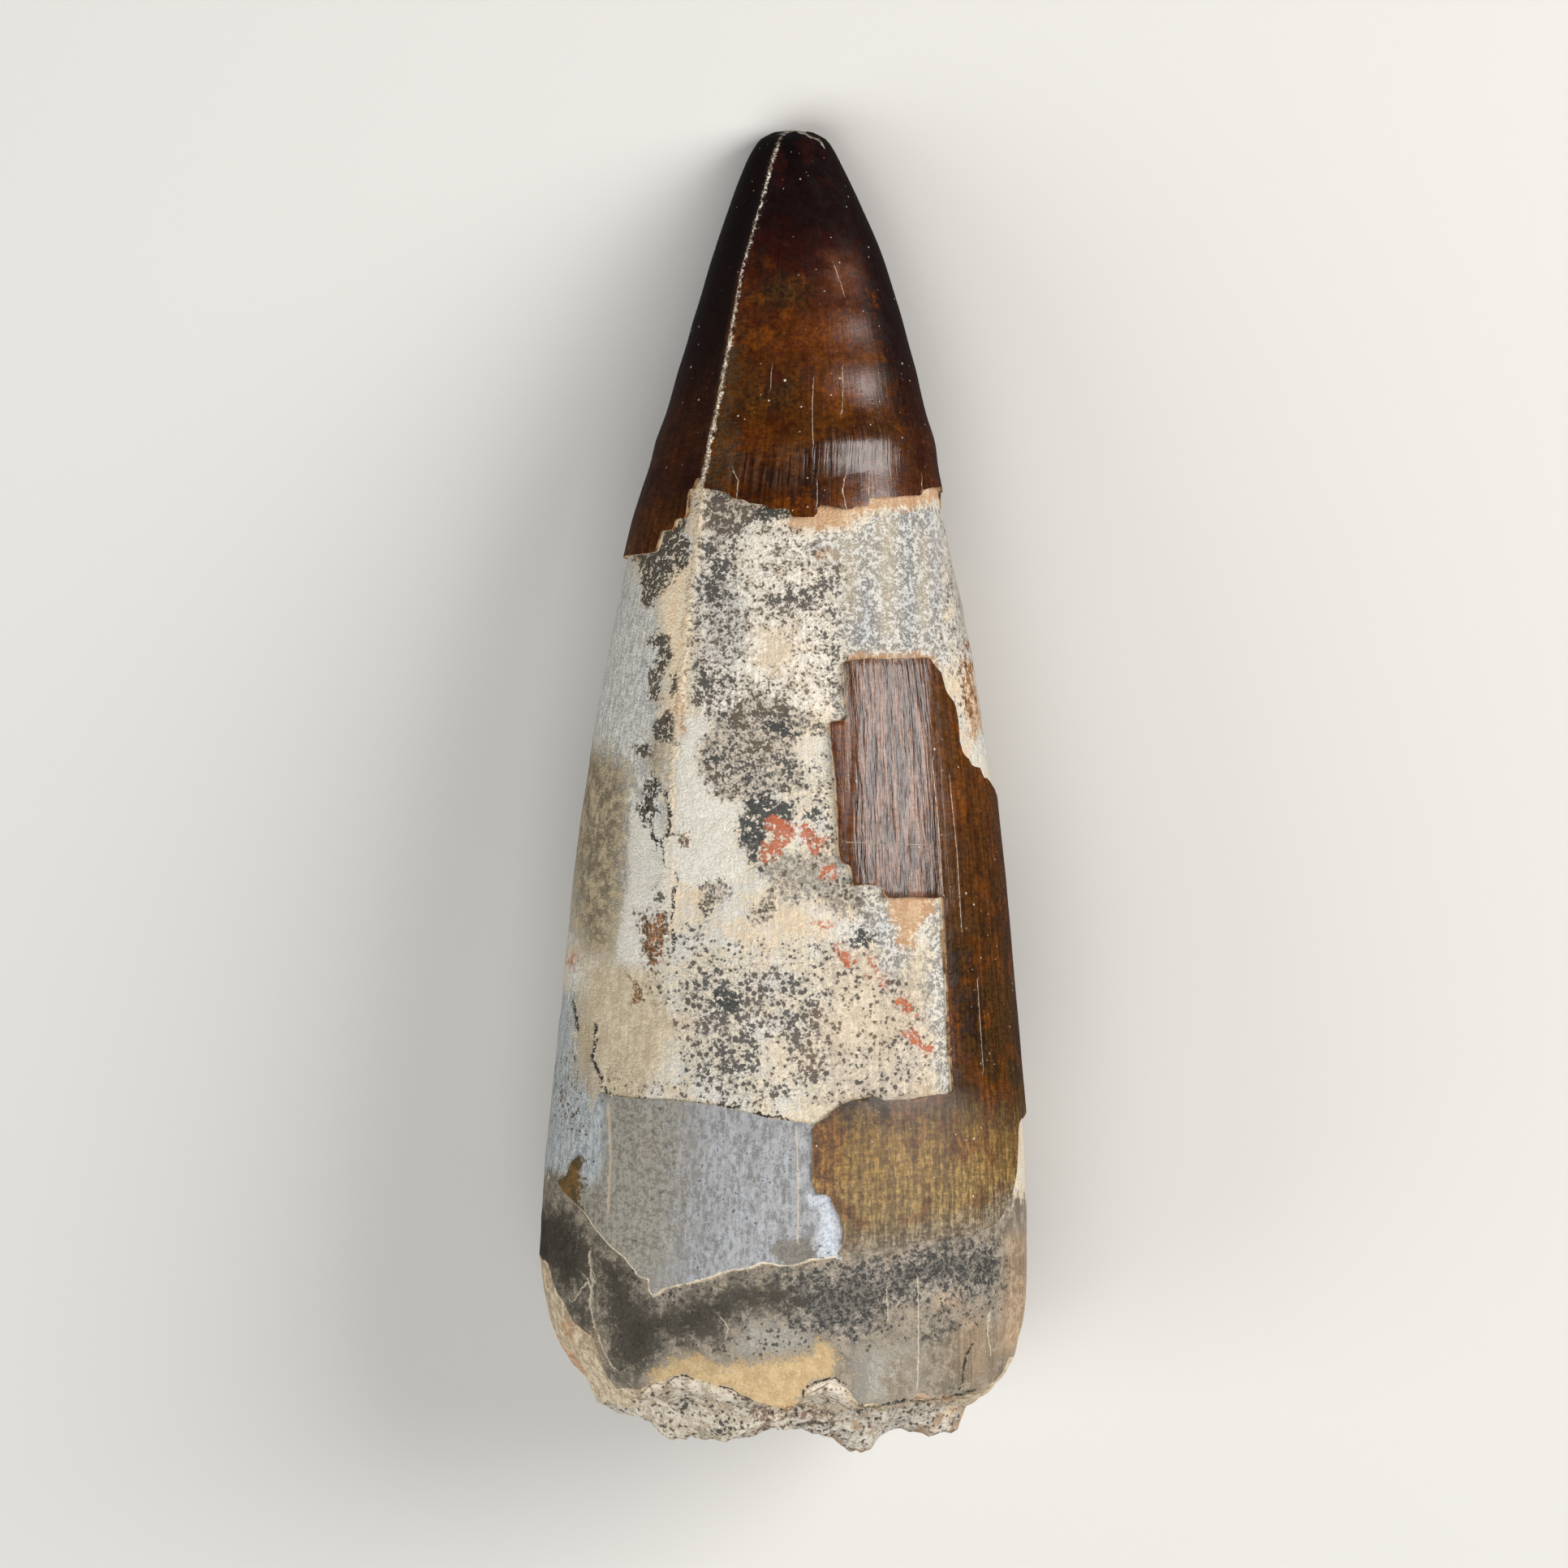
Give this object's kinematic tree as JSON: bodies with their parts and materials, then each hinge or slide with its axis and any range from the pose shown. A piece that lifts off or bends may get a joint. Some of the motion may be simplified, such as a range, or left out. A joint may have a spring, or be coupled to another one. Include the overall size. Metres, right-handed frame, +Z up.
{
  "type": "fossil sarcosuchus tooth",
  "caption": "Large conical fossil crocodile-kin tooth lying on its side, with brown enamel, a sharp ridge, flaked bare dentine and a broken root end.",
  "frame": {"origin": "middle of the bounding box's base, on the surface that the tooth lies on", "axes": "+Y along the tooth towards its tip, +Z up, out of the face that shows, +X to the right of that face with the tip away from the viewer"},
  "size_m": [0.0314, 0.0834, 0.0261],
  "materials": {
    "fossil": "fossil: glossy dark brown enamel over matte cream and grey dentine with black mineral specks"
  },
  "bodies": {
    "root": {"tooth": "fossil"}
  },
  "joints": []
}
